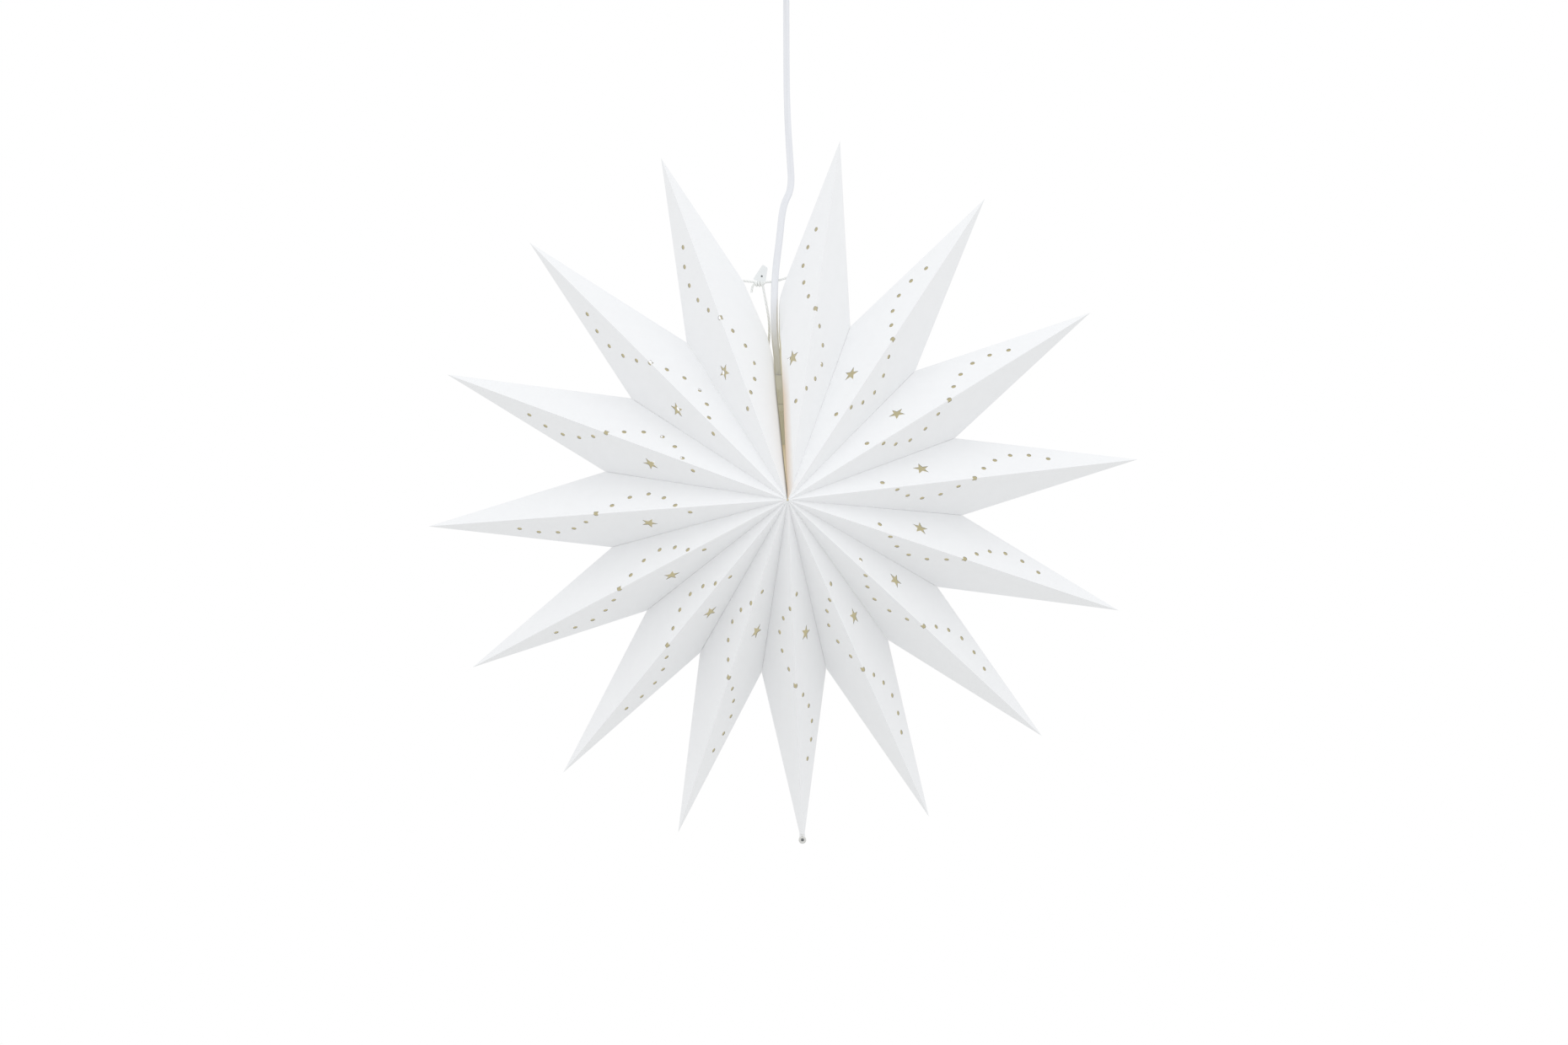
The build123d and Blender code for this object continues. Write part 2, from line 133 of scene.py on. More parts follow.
panel_place = Vector((0.1, -1.4, 1.9))
bpy.ops.object.light_add(type="AREA", location=star_centre + panel_place)
panel = bpy.context.object
panel.name = "overhead_panel"
panel.data.shape = "RECTANGLE"
panel.data.size = 3.2
panel.data.size_y = 2.6
panel.data.energy = 11
panel.data.color = (0.95, 0.975, 1.0)
panel.rotation_euler = (-panel_place).to_track_quat("-Z", "Y").to_euler()
bpy.context.scene.view_settings.view_transform = "Standard"

# --- Card arms --------------------------------------------------------------------
# Each arm is one sheet of white card, scored and folded to a hollow point with a sharp
# ridge in front and behind. Its side margins are turned in and glued to its neighbours',
# and every face is punched with a wavy row of dots and a small star.
star_radius = 0.3
half_depth = 0.095
notch_radius = 0.1516
card_thickness = 0.00045
joint_gap = 0.00006                # an arm's edge to the middle of its glued joint
margin_reach = 0.0113              # how far the glued margins reach in, along the radius
apex_hole = 0.0009
mouth_radius, throat_radius = 0.182, 0.135
mouth_angles = (-10.8, 0.7)        # last arm, first arm
throat_angles = (-6.3, -1.3)
lip_radius = 0.115                 # where the slit's edges come closest to the cord
lip_angles = (-5.0, -1.45)
pressed_arm, pressed_start = 7, 0.2885
tip_block = 0.02                   # the block that cuts that arm's point off
facet_cuts = 11


def clockwise(angle, radius=1.0):
    """A step in the star's middle plane, at an angle clockwise from straight up."""
    return Vector((sin(radians(angle)), 0, cos(radians(angle)))) * radius


def ridge_angle(node):
    """The direction of an arm, clockwise from straight up, from its farthest points."""
    flat = [Vector((v.co.x - star_centre.x, v.co.z - star_centre.z))
            for v in frame["nodes"][node].data.vertices]
    far = max(p.length for p in flat)
    tip = sum((p for p in flat if p.length > far - 0.0004), Vector((0, 0)))
    return degrees(atan2(tip.x, tip.y)) % 360


arm_nodes = sorted(n for n in frame["nodes"] if n.startswith("arm_"))
ridges = [ridge_angle(node) for node in arm_nodes]


def started_material(name, roughness, specular):
    """A new material, with its node tree and the socket of the object's own coordinates."""
    material = bpy.data.materials.new(name)
    material.use_nodes = True
    surface = material.node_tree.nodes["Principled BSDF"]
    surface.inputs["Roughness"].default_value = roughness
    surface.inputs["Specular IOR Level"].default_value = specular
    place = material.node_tree.nodes.new("ShaderNodeTexCoord")
    return material, material.node_tree, place.outputs["Object"]


def cloudy(tree, place, scale, detail=2.0, roughness=0.5):
    """A cloudy pattern, as a socket."""
    cloud = tree.nodes.new("ShaderNodeTexNoise")
    cloud.inputs["Scale"].default_value = scale
    cloud.inputs["Detail"].default_value = detail
    cloud.inputs["Roughness"].default_value = roughness
    tree.links.new(place, cloud.inputs["Vector"])
    return cloud.outputs["Fac"]


def colour_from(tree, pattern, low_shade, high_shade, low=0.0, high=1.0, into="Base Color"):
    """Runs a colour of the surface between two shades, as the pattern rises."""
    tint = tree.nodes.new("ShaderNodeValToRGB")
    tint.color_ramp.elements[0].position = low
    tint.color_ramp.elements[1].position = high
    tint.color_ramp.elements[0].color = [*low_shade, 1]
    tint.color_ramp.elements[1].color = [*high_shade, 1]
    tree.links.new(pattern, tint.inputs["Fac"])
    tree.links.new(tint.outputs["Color"], tree.nodes["Principled BSDF"].inputs[into])


def ranged(tree, pattern, to_low, to_high, from_low=0.0, from_high=1.0):
    """The pattern carried from one range to another, as a socket."""
    span = tree.nodes.new("ShaderNodeMapRange")
    span.inputs["From Min"].default_value = from_low
    span.inputs["From Max"].default_value = from_high
    span.inputs["To Min"].default_value = to_low
    span.inputs["To Max"].default_value = to_high
    tree.links.new(pattern, span.inputs["Value"])
    return span.outputs["Result"]


def relief_from(tree, pattern, strength, distance):
    """Raises the surface by the pattern, in its shading."""
    relief = tree.nodes.new("ShaderNodeBump")
    relief.inputs["Strength"].default_value = strength
    relief.inputs["Distance"].default_value = distance
    tree.links.new(pattern, relief.inputs["Height"])
    tree.links.new(relief.outputs["Normal"], tree.nodes["Principled BSDF"].inputs["Normal"])


def fine_paper(name, shade, roughness, painted_glow=None):
    """Matt card: a faint mottle of its fibres in colour and in relief, with an even painted glow of
    light if one is given.
    """
    paper, tree, place = started_material(name, roughness, specular=0.25)
    pulp = cloudy(tree, place, scale=90, detail=6, roughness=0.62)
    colour_from(tree, pulp, [c * 0.985 for c in shade], shade, low=0.3, high=0.7)
    fibre = cloudy(tree, place, scale=900, detail=4)
    relief_from(tree, fibre, strength=0.12, distance=0.0002)
    # Painted light: the card is given a faint even glow of its own.
    if painted_glow:
        surface = tree.nodes["Principled BSDF"]
        surface.inputs["Emission Color"].default_value = (*painted_glow, 1)
        surface.inputs["Emission Strength"].default_value = 1.0
    return paper


card_white, card_roughness = (0.895, 0.90, 0.905), 0.72
# The card's inside is painted darker and warmer than its white outside: painted shade with painted
# warm lamplight.
inside_painted_shade, inside_roughness = (0.80, 0.76, 0.66), 0.8
white_card = fine_paper("white_card", card_white, card_roughness)
# The inside card also has a faint painted glow of light.
inner_card = fine_paper("inner_card", inside_painted_shade, inside_roughness, painted_glow=(0.130, 0.128, 0.098))
# Dark grey on every cut wall of the card, at its punched holes and edges: painted shade.
cut_edge_painted_shade = fine_paper("cut_edge_painted_shade", (0.36, 0.37, 0.38), 0.8)

painted_lamplight_width, shade_width = 0.0058, 0.0014    # of the painted warm lamplight and the painted shade at the slit's edges
painted_edge_end, painted_glow_end = 0.118, 0.18           # how far up the slit they and the painted daylight inside reach
painted_glow_width = 0.012
upper_fade = 0.033


def vector_step(tree, operation, source, constant):
    """A step of vector arithmetic between a socket and a constant."""
    step = tree.nodes.new("ShaderNodeVectorMath")
    step.operation = operation
    step.inputs[1].default_value = constant
    tree.links.new(source, step.inputs[0])
    return step


def slit_nearness(tree, edge, side, width, upper_end):
    """From 1 at an arm's open edge in the slit to 0 at a distance, and 0 far up the slit."""
    place = tree.nodes["Texture Coordinate"].outputs["Object"]
    from_centre = vector_step(tree, "SUBTRACT", place, star_centre).outputs["Vector"]
    from_edge = vector_step(tree, "DOT_PRODUCT", from_centre, clockwise(edge + 90 * side))
    along_edge = vector_step(tree, "DOT_PRODUCT", from_centre, clockwise(edge))
    across = ranged(tree, from_edge.outputs["Value"], 1, 0, 0, width)
    upwards = ranged(tree, along_edge.outputs["Value"], 1, 0, upper_end - upper_fade, upper_end)
    nearness = tree.nodes.new("ShaderNodeMath")
    nearness.operation = "MULTIPLY"
    tree.links.new(across, nearness.inputs[0])
    tree.links.new(upwards, nearness.inputs[1])
    return nearness.outputs["Value"]


def painted_edge_light_and_shade(name, edge, side, width, painted_tone):
    """White card with a painted tone within a few millimetres of its open edge in the slit: painted
    warm lamplight on the first arm, painted shade on the last.
    """
    card = fine_paper(name, card_white, card_roughness)
    tree = card.node_tree
    colour = tree.nodes["Principled BSDF"].inputs["Base Color"]
    painted_mix = tree.nodes.new("ShaderNodeMix")
    painted_mix.data_type = "RGBA"
    painted_mix.inputs["B"].default_value = (*painted_tone, 1)
    tree.links.new(slit_nearness(tree, edge, side, width, painted_edge_end), painted_mix.inputs["Factor"])
    tree.links.new(colour.links[0].from_socket, painted_mix.inputs["A"])
    tree.links.new(painted_mix.outputs["Result"], colour)
    return card


def slit_inside_painted_glow(name, edge, side):
    """The inside of an arm beside the slit, with a painted glow of light that is raised where the
    room shines in.
    """
    card = fine_paper(name, inside_painted_shade, inside_roughness, painted_glow=(0.130, 0.128, 0.104))
    tree = card.node_tree
    nearness = slit_nearness(tree, edge, side, painted_glow_width, painted_glow_end)
    painted_glow_lift = ranged(tree, nearness, 1.0, 1.9)
    tree.links.new(painted_glow_lift, tree.nodes["Principled BSDF"].inputs["Emission Strength"])
    return card


# Painted light and shade at the slit: the first arm's card is painted warm near its lip, as where
# the lamp shows through, and the last arm's edge is painted dark, as in shade.
last_lip, first_lip = lip_angles
slit_cards = {
    0: (painted_edge_light_and_shade("warm_edge", first_lip, 1, painted_lamplight_width, (0.73, 0.595, 0.46)),
        slit_inside_painted_glow("first_inside", first_lip, 1)),
    len(ridges) - 1: (painted_edge_light_and_shade("shaded_edge", last_lip, -1, shade_width, (0.34, 0.33, 0.30)),
                      slit_inside_painted_glow("last_inside", last_lip, -1))}

dot_radius = 0.0020
dot_count = 12
dot_pitch = 0.01638
first_dot = 0.0861
wave_start, wave_length, wave_stretch = 0.0922, 0.1357, 0.174
wave_height, wave_offset = 0.0234, -0.0016
punch_depth = 0.006
star_cut_radius, star_cut_waist = 0.0073, 0.0029
star_cut_along, star_cut_across = 0.1256, 0.0207


def wave(along):
    """How far the row of dots lies from the ridge, clockwise positive."""
    run = along - wave_start
    return wave_offset + wave_height * sin(2 * pi * run / (wave_length + wave_stretch * run))


def punched_dots():
    """The dots' places along and across the ridge, at even steps along the wave."""
    along, steps, near = first_dot, 20, 0.0005
    for _ in range(dot_count):
        yield along, wave(along)
        for _ in range(steps):
            slope = (wave(along + near) - wave(along - near)) / (2 * near)
            along += dot_pitch / steps / hypot(1, slope)


def joined(pieces):
    """The pieces joined into one object."""
    bpy.ops.object.select_all(action="DESELECT")
    for piece in pieces:
        piece.select_set(True)
    bpy.context.view_layer.objects.active = pieces[0]
    bpy.ops.object.join()
    return bpy.context.object


def applied(piece, modifier):
    """Applies a modifier of the piece."""
    bpy.ops.object.select_all(action="DESELECT")
    piece.select_set(True)
    bpy.context.view_layer.objects.active = piece
    bpy.ops.object.modifier_apply(modifier=modifier.name)


def cut_away(piece, tool, finish=None, folded=False):
    """Cuts the tool out of the piece, with the finish on the cut walls if one is given; the card
    arms and the tie tab get painted shade there.
    """
    cut = piece.modifiers.new("cut", "BOOLEAN")
    cut.operation = "DIFFERENCE"
    cut.solver = "EXACT"
    cut.use_self = folded
    cut.object = tool
    if finish:
        cut.material_mode = "INDEX"
        piece.data.materials.append(finish)
        for _ in piece.data.materials:
            tool.data.materials.append(finish)
        for polygon in tool.data.polygons:
            polygon.material_index = len(piece.data.materials) - 1
    applied(piece, cut)
    bpy.data.objects.remove(tool)


def punch(side):
    """The cutters for one facet, flat: x along the ridge, y away from it."""
    bpy.ops.object.select_all(action="DESELECT")
    cutters = []
    for along, across in punched_dots():
        if across * side > -dot_radius:
            bpy.ops.mesh.primitive_cylinder_add(vertices=18, radius=dot_radius, depth=punch_depth,
                                                location=(along, across * side, 0))
            cutters.append(bpy.context.object)
    if side < 0:
        bpy.ops.mesh.primitive_cylinder_add(vertices=10, radius=star_cut_radius, depth=punch_depth)
        star = bpy.context.object
        for vertex in star.data.vertices:
            turn = round(degrees(atan2(vertex.co.y, vertex.co.x)) - 90)
            if turn % 72:
                vertex.co.xy *= star_cut_waist / star_cut_radius
        star.location = (star_cut_along, star_cut_across, 0)
        cutters.append(star)
    tool = joined(cutters)
    bpy.ops.object.transform_apply(location=True, rotation=True, scale=True)
    return tool


punches = {side: punch(side) for side in (-1, 1)}


def side_corners(index, side, apex, tip):
    """The corners of a facet away from its ridge, from the apex outwards."""
    ridge, neighbour = ridges[index], index + side
    if 0 <= neighbour < len(ridges):
        angle = (ridge + ridges[neighbour]) / 2
        notch = star_centre + clockwise(angle, notch_radius)
        return [notch + clockwise(angle - side * 90, joint_gap)]
    end = 0 if side > 0 else 1
    mouth = star_centre + clockwise(mouth_angles[end], mouth_radius)
    normal = (tip - apex).cross(mouth - apex)
    edge = [clockwise(lip_angles[end], lip_radius), clockwise(throat_angles[end], throat_radius)]
    edge = [star_centre + point for point in edge]
    return [p + Vector((0, (apex - p).dot(normal) / normal.y, 0)) for p in edge] + [mouth]


def facet_place(apex, tip, corner):
    """The matrix that lays a facet's flat pattern on it."""
    along = (tip - apex).normalized()
    across = (corner - apex) - along * (corner - apex).dot(along)
    across.normalize()
    turn = Matrix((along, across, along.cross(across))).transposed().to_4x4()
    return Matrix.Translation(apex) @ turn


margin_width, margin_fade = 0.006, 0.014    # of the open edges, and their narrowing at the mouth
open_edges = {0: (-8, 5), len(ridges) - 1: (-17, 2)}     # between these angles, in the slit
first_lean, last_lean = -0.62, 0.1          # how far those margins turn aside, as a share
inward_share, downward_share = 0.8, 0.2     # and inwards and down
lean_start, lean_run = 0.125, 0.035         # radii over which the first arm's lean sets in
least_kept = 0.35                           # of the radius, where a glued margin ends


def margin_step(co, index):
    """Where a point of the open edge goes when its margin is turned into the star."""
    flat = co - star_centre
    angle = degrees(atan2(flat.x, flat.z))
    radius = hypot(flat.x, flat.z)
    low, high = open_edges.get(index, (0, 0))
    if low < angle < high:
        width = margin_width * min(1, max(0, (mouth_radius - radius) / margin_fade))
        leaning = min(1, max(0, (radius - lean_start) / lean_run))
        lean = first_lean * leaning if index == 0 else last_lean
        inward = -1 if co.y > 0 else 1
        return Vector((lean * width, inward * width * inward_share, -downward_share * width))
    kept = max(radius - margin_reach, least_kept * radius)
    return -flat * (1 - kept / radius) * Vector((1, 0, 1)) if radius > 1e-6 else Vector()


def card_arm(index):
    """One folded arm: a four-sided hollow point, open towards the axis."""
    ridge = ridges[index]
    tip = star_centre + clockwise(ridge, star_radius)
    apexes = [star_centre + Vector((0, face * half_depth, 0)) for face in (-1, 1)]
    front = {side: side_corners(index, side, apexes[0], tip) for side in (-1, 1)}
    back = {side: side_corners(index, side, apexes[1], tip) for side in (-1, 1)}
    ring = [apexes[0]] + front[1] + back[1][-2::-1] + [apexes[1]] + back[-1][:-1] + front[-1][::-1]
    bpy.ops.object.select_all(action="DESELECT")
    bpy.ops.mesh.primitive_cone_add(vertices=len(ring), radius1=notch_radius, depth=star_radius,
                                    end_fill_type="NOTHING")
    arm = bpy.context.object
    arm.name = f"card_arm_{index + 1:02d}"
    for vertex, place in zip(arm.data.vertices, ring + [tip]):
        vertex.co = place
    bpy.ops.object.mode_set(mode="EDIT")
    bpy.ops.mesh.select_all(action="SELECT")
    bpy.ops.mesh.subdivide(number_cuts=facet_cuts)
    bpy.ops.mesh.select_all(action="DESELECT")
    bpy.ops.mesh.select_mode(type="EDGE")
    bpy.ops.mesh.select_non_manifold(extend=False)
    bpy.ops.mesh.extrude_edges_move()
    bpy.ops.object.mode_set(mode="OBJECT")
    for vertex in arm.data.vertices:
        if vertex.select:
            vertex.co += margin_step(vertex.co, index)
    bpy.ops.object.mode_set(mode="EDIT")
    bpy.ops.mesh.select_all(action="SELECT")
    bpy.ops.mesh.remove_doubles(threshold=0.00001)
    bpy.ops.object.mode_set(mode="OBJECT")
    outward = arm.data.polygons[0].normal.dot(arm.data.polygons[0].center - star_centre
                                              - clockwise(ridge, notch_radius))
    if outward < 0:
        bpy.ops.object.mode_set(mode="EDIT")
        bpy.ops.mesh.select_all(action="SELECT")
        bpy.ops.mesh.flip_normals()
        bpy.ops.object.mode_set(mode="OBJECT")
    for card in slit_cards.get(index, (white_card, inner_card)):
        arm.data.materials.append(card)
    thickness = arm.modifiers.new("thickness", "SOLIDIFY")
    thickness.thickness = card_thickness
    thickness.offset = -1
    thickness.use_even_offset = True
    thickness.thickness_clamp = 1.0
    thickness.material_offset = 1
    applied(arm, thickness)
    cutters = []
    for face, apex in enumerate(apexes):
        for side in (-1, 1):
            corner = (front if face == 0 else back)[side][0]
            seen_side = side if face == 0 else -side
            cutter = punches[seen_side].copy()
            cutter.data = punches[seen_side].data.copy()
            bpy.context.collection.objects.link(cutter)
            cutter.matrix_world = facet_place(apex, tip, corner)
            cutters.append(cutter)
    bpy.ops.object.select_all(action="DESELECT")
    bpy.ops.mesh.primitive_cylinder_add(vertices=24, radius=apex_hole, depth=3 * half_depth,
                                        location=star_centre, rotation=(pi / 2, 0, 0))
    cutters.append(bpy.context.object)
    if index == pressed_arm:
        end_middle = star_centre + clockwise(ridge, pressed_start + tip_block / 2)
        bpy.ops.mesh.primitive_cube_add(size=tip_block, rotation=(0, radians(ridge), 0),
                                        location=end_middle)
        cutters.append(bpy.context.object)
    # The cut walls get the dark grey of painted shade.
    cut_away(arm, joined(cutters), cut_edge_painted_shade, folded=True)
    bpy.ops.object.shade_smooth_by_angle(angle=radians(25))
    return arm


for index, node in enumerate(arm_nodes):
    arm = card_arm(index)
    body = node if node in frame["bodies"] else "root"
    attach(arm, body)
    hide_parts(node)
    across = clockwise(ridges[index] + 90)
    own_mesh(arm)
for punch_tool in punches.values():
    bpy.data.objects.remove(punch_tool)

# --- Supply cord ------------------------------------------------------------------
# A flat white twin flex with a soft plastic jacket. It hangs from the clip in the ceiling
# cup, keeps the kink of its packing, and runs down through the slit into the lampholder.
cord_width, cord_thick = 0.0058, 0.0032
cord_route = [(0, -16.5), (0, -140), (0.9, -182), (2.9, -216), (4.9, -243.5), (-2.9, -257.5),
              (-5.6, -286), (-9.3, -314), (-10.2, -342), (-9.6, -370), (-7.2, -388), (-6.6, -407)]
cord_twist = [0.75, 0.7, 0.6, 0.4, 0.2, 0.1, 0, 0, 0, 0, 0, 0]


def stretched(tree, place, scale=(1, 1, 1), rotation=(0, 0, 0)):
    """The coordinates scaled or turned, so that a pattern on them runs one way."""
    stretch = tree.nodes.new("ShaderNodeMapping")
    stretch.inputs["Scale"].default_value = scale
    stretch.inputs["Rotation"].default_value = rotation
    tree.links.new(place, stretch.inputs["Vector"])
    return stretch.outputs["Vector"]


def jacket(name, shade, roughness):
    """Soft moulded plastic with faint drawn streaks and a dull gloss."""
    plastic, tree, place = started_material(name, roughness, specular=0.4)
    streaks = cloudy(tree, stretched(tree, place, scale=(260, 260, 25)), scale=1.0, detail=3)
    colour_from(tree, streaks, [c * 0.965 for c in shade], shade, low=0.35, high=0.65)
    relief_from(tree, streaks, strength=0.15, distance=0.0001)
    return plastic


def nurbs_route(name, points, tilts=None):
    """One smooth open spline with the points as its control points."""
    curve = bpy.data.curves.new(name, "CURVE")
    curve.dimensions = "3D"
    curve.resolution_u = 12
    spline = curve.splines.new("NURBS")
    spline.points.add(len(points) - 1)
    for place, point in zip(points, spline.points):
        point.co = (*place, 1)
    for tilt, point in zip(tilts or [0] * len(points), spline.points):
        point.tilt = tilt
    spline.order_u = 3
    spline.use_endpoint_u = True
    route = bpy.data.objects.new(name, curve)
    bpy.context.collection.objects.link(route)
    return route


def flat_profile():
    """The flat cord's section: two round edges and a shallow groove between the cores."""
    edge = cord_thick / 2
    middle = cord_width / 2 - edge
    groove = 0.00022
    outline = []
    for sense in (1, -1):
        for step in range(9):
            turn = pi * step / 8 - pi / 2
            outline.append((sense * (middle + edge * cos(turn)), sense * edge * sin(turn)))
        for step in range(1, 8):
            across = middle * (1 - step / 4)
            dip = groove * (1 - (across / middle) ** 2) ** 2
            outline.append((sense * across, sense * (edge - dip)))
    curve = bpy.data.curves.new("cord_section", "CURVE")
    curve.dimensions = "2D"
    spline = curve.splines.new("POLY")
    spline.points.add(len(outline) - 1)
    for (x, y), point in zip(outline, spline.points):
        point.co = (x, y, 0, 1)
    spline.use_cyclic_u = True
    return bpy.data.objects.new("cord_section", curve)


supply_cord = nurbs_route("flat_cord", [(x / 1000, 0, z / 1000) for x, z in cord_route], cord_twist)
supply_cord.data.bevel_mode = "OBJECT"
supply_cord.data.bevel_object = flat_profile()
supply_cord.data.use_fill_caps = True
supply_cord.data.materials.append(jacket("white_flex", (0.82, 0.83, 0.86), 0.42))
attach(supply_cord, "root")
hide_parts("supply_cord")

# --- Tie --------------------------------------------------------------------------
# White twisted twine that runs from the last arm's mouth corner, behind the cord, to the
# first arm's. It is wound round itself in a knot, and its ends hang down.
twine_radius = 0.00095
behind_cord = 0.00285
tie_left = [(-37.0, 179.4), (-32.0, 178.9), (-26.0, 178.0)]
tie_right = [(-19.0, 178.0), (-12.0, 178.2), (-4.0, 180.3), (1.2, 182.0)]
tail_route = [(-19.3, 173.6), (-16.6, 160.0), (-14.2, 146.0), (-14.0, 132.0), (-15.2, 120.0)]
stub_route = [(-26.2, 176.6), (-27.9, 175.6), (-28.7, 172.8), (-29.0, 169.4)]
knot_middle, knot_reach = (-22.3, 176.6), 4.1
knot_turns, knot_winding, knot_taper = 3.5, 0.00165, 0.35
core_radius = 0.00115


def twine(name, shade):
    """Twisted cotton: slanting plies round the string, with a soft fuzz."""
    cotton, tree, place = started_material(name, 0.85, specular=0.2)
    plies = tree.nodes.new("ShaderNodeTexWave")
    plies.inputs["Scale"].default_value = 190
    plies.inputs["Distortion"].default_value = 1.2
    plies.inputs["Detail Scale"].default_value = 3
    tree.links.new(stretched(tree, place, rotation=(0, radians(38), 0)), plies.inputs["Vector"])
    # Painted shade: the plies are darker where they sink into the grooves between them.
    colour_from(tree, plies.outputs["Fac"], [c * 0.88 for c in shade], shade)
    fuzz = cloudy(tree, place, scale=2500, detail=3)
    both = tree.nodes.new("ShaderNodeMath")
    both.operation = "MULTIPLY_ADD"
    both.inputs[1].default_value = 0.35
    tree.links.new(fuzz, both.inputs[0])
    tree.links.new(plies.outputs["Fac"], both.inputs[2])
    relief_from(tree, both.outputs[0], strength=0.5, distance=0.0002)
    return cotton


white_twine = twine("white_twine", (0.90, 0.91, 0.89))


def round_run(name, points, radius, finish, resolution=3):
    """A round string or core along the points, closed at both ends."""
    run = nurbs_route(name, points)
    run.data.bevel_depth = radius
    run.data.bevel_resolution = resolution
    run.data.use_fill_caps = True
    run.data.materials.append(finish)
    return run


def string_run(name, route, radius=twine_radius):
    """A length of twine along points given sideways and above the star's axis."""
    points = [(x / 1000, behind_cord, star_centre.z + up / 1000) for x, up in route]
    return round_run(name, points, radius, white_twine)


def folding_string(name, route, index):
    """A side of the tie, made a mesh, that moves with its arm when the star folds."""
    bpy.ops.object.select_all(action="DESELECT")
    run = string_run(name, route)
    run.select_set(True)
    bpy.context.view_layer.objects.active = run
    bpy.ops.object.convert(target="MESH")
    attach(run, arm_nodes[index])
    tuple(clockwise(ridges[index] + 90))
    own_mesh(run)
    return run


string_left = folding_string("string_left", tie_left, -1)
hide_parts("tie_string_left")
string_right = folding_string("string_right", tie_right, 0)
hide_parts("tie_string_right")

hanging_tail = string_run("hanging_tail", tail_route)
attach(hanging_tail, "root")
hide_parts("tie_tail")

knot_points = []
for step in range(int(knot_turns * 8) + 1):
    turn = 2 * pi * step / 8
    run = 2 * step / (knot_turns * 8) - 1
    swell = knot_winding * (1 - knot_taper * run * run)
    knot_points.append(((knot_middle[0] + knot_reach * run) / 1000, behind_cord + swell * cos(turn),
                        star_centre.z + knot_middle[1] / 1000 + swell * sin(turn)))
core_route = [(-26.6, 176.9), (-22.3, 176.4), (-18.4, 176.9)]
knot_core = string_run("knot_core", core_route, core_radius)
wound_knot = round_run("wound_knot", knot_points, twine_radius, white_twine)
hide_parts("tie_knot")
knot_stub = string_run("knot_stub", stub_route)
knot_link = string_run("knot_link", [(-20.8, 176.9), (-19.4, 176.2), (-19.3, 173.6)])
for piece in (knot_core, wound_knot, knot_stub, knot_link):
    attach(piece, "root")

# --- Tie tab ----------------------------------------------------------------------
# A small tapered tab of pale plastic on the string. Its punched hole near the knot is drawn as a
# shallow dimple with dark walls: painted shade.
# It is stamped from sheet and its corners are rounded.
tab_corners = [(-28.0, 180.4), (-19.7, 193.0), (-15.4, 190.2), (-17.6, 176.9)]
tab_thickness = 0.0013
tab_rounding = 0.0012
tab_hole_place, tab_hole = (-20.4, 183.1), 0.0008


def gloss_from(tree, pattern, low, high):
    """Lets the surface's roughness vary with the pattern."""
    gloss = ranged(tree, pattern, low, high)
    tree.links.new(gloss, tree.nodes["Principled BSDF"].inputs["Roughness"])


def moulded(name, shade, roughness):
    """Moulded plastic: nearly even colour, a slight orange peel and a varying gloss."""
    plastic, tree, place = started_material(name, roughness, specular=0.4)
    cloud = cloudy(tree, place, scale=60, detail=4)
    colour_from(tree, cloud, [c * 0.96 for c in shade], shade, low=0.3, high=0.7)
    gloss_from(tree, cloud, roughness - 0.06, roughness + 0.06)
    relief_from(tree, cloudy(tree, place, scale=1400), strength=0.08, distance=0.0001)
    return plastic


bpy.ops.object.select_all(action="DESELECT")
bpy.ops.mesh.primitive_plane_add(size=0.012, location=(0, behind_cord, star_centre.z))
tie_tab = bpy.context.object
tie_tab.name = "tie_tab"
bpy.ops.object.transform_apply(location=True, rotation=True, scale=True)
for vertex, corner in zip((0, 2, 3, 1), tab_corners):
    x, up = corner
    tie_tab.data.vertices[vertex].co = (x / 1000, behind_cord, star_centre.z + up / 1000)
bpy.ops.object.mode_set(mode="EDIT")
bpy.ops.mesh.select_all(action="SELECT")
bpy.ops.mesh.bevel(offset=tab_rounding, segments=4, affect="VERTICES")
bpy.ops.object.mode_set(mode="OBJECT")
sheet = tie_tab.modifiers.new("sheet", "SOLIDIFY")
sheet.thickness = tab_thickness
sheet.offset = 0
applied(tie_tab, sheet)
bpy.ops.object.select_all(action="DESELECT")
bpy.ops.mesh.primitive_cylinder_add(
    vertices=24, radius=tab_hole, depth=tab_thickness, rotation=(pi / 2, 0, 0),
    location=(tab_hole_place[0] / 1000, behind_cord - 0.8 * tab_thickness,
              star_centre.z + tab_hole_place[1] / 1000))
hole_tool = bpy.context.object
tie_tab.data.materials.append(moulded("tab_plastic", (0.84, 0.86, 0.86), 0.35))
# Dark plastic for painted shade, in the tab's dimple and the eyelet's bore.
shadowed = moulded("shadowed_plastic", (0.16, 0.17, 0.17), 0.6)
cut_away(tie_tab, hole_tool, shadowed)
soft_edge = tie_tab.modifiers.new("soft_edge", "BEVEL")
soft_edge.width = 0.0002
soft_edge.segments = 2
applied(tie_tab, soft_edge)
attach(tie_tab, "root")
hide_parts("tie_toggle")

# --- Eyelet and pressed end ---------------------------------------------------------
# The lowest arm's point is pressed flat, both layers of card together, and a rolled metal
# eyelet is set through it.
eyelet_place = 0.2936
pressed_half_width = 0.0029
eyelet_outer, eyelet_inner = 0.00315, 0.0011


def metal(name, shade, roughness):
    """Bright metal with fine rubbed streaks in its gloss and relief."""
    bright, tree, place = started_material(name, roughness, specular=0.5)
    tree.nodes["Principled BSDF"].inputs["Metallic"].default_value = 1.0
    rub = cloudy(tree, stretched(tree, place, scale=(1, 1, 6)), scale=420, detail=5)
    colour_from(tree, rub, [c * 0.86 for c in shade], shade)
    gloss_from(tree, rub, roughness - 0.08, roughness + 0.10)
    relief_from(tree, rub, strength=0.06, distance=0.00005)
    return bright


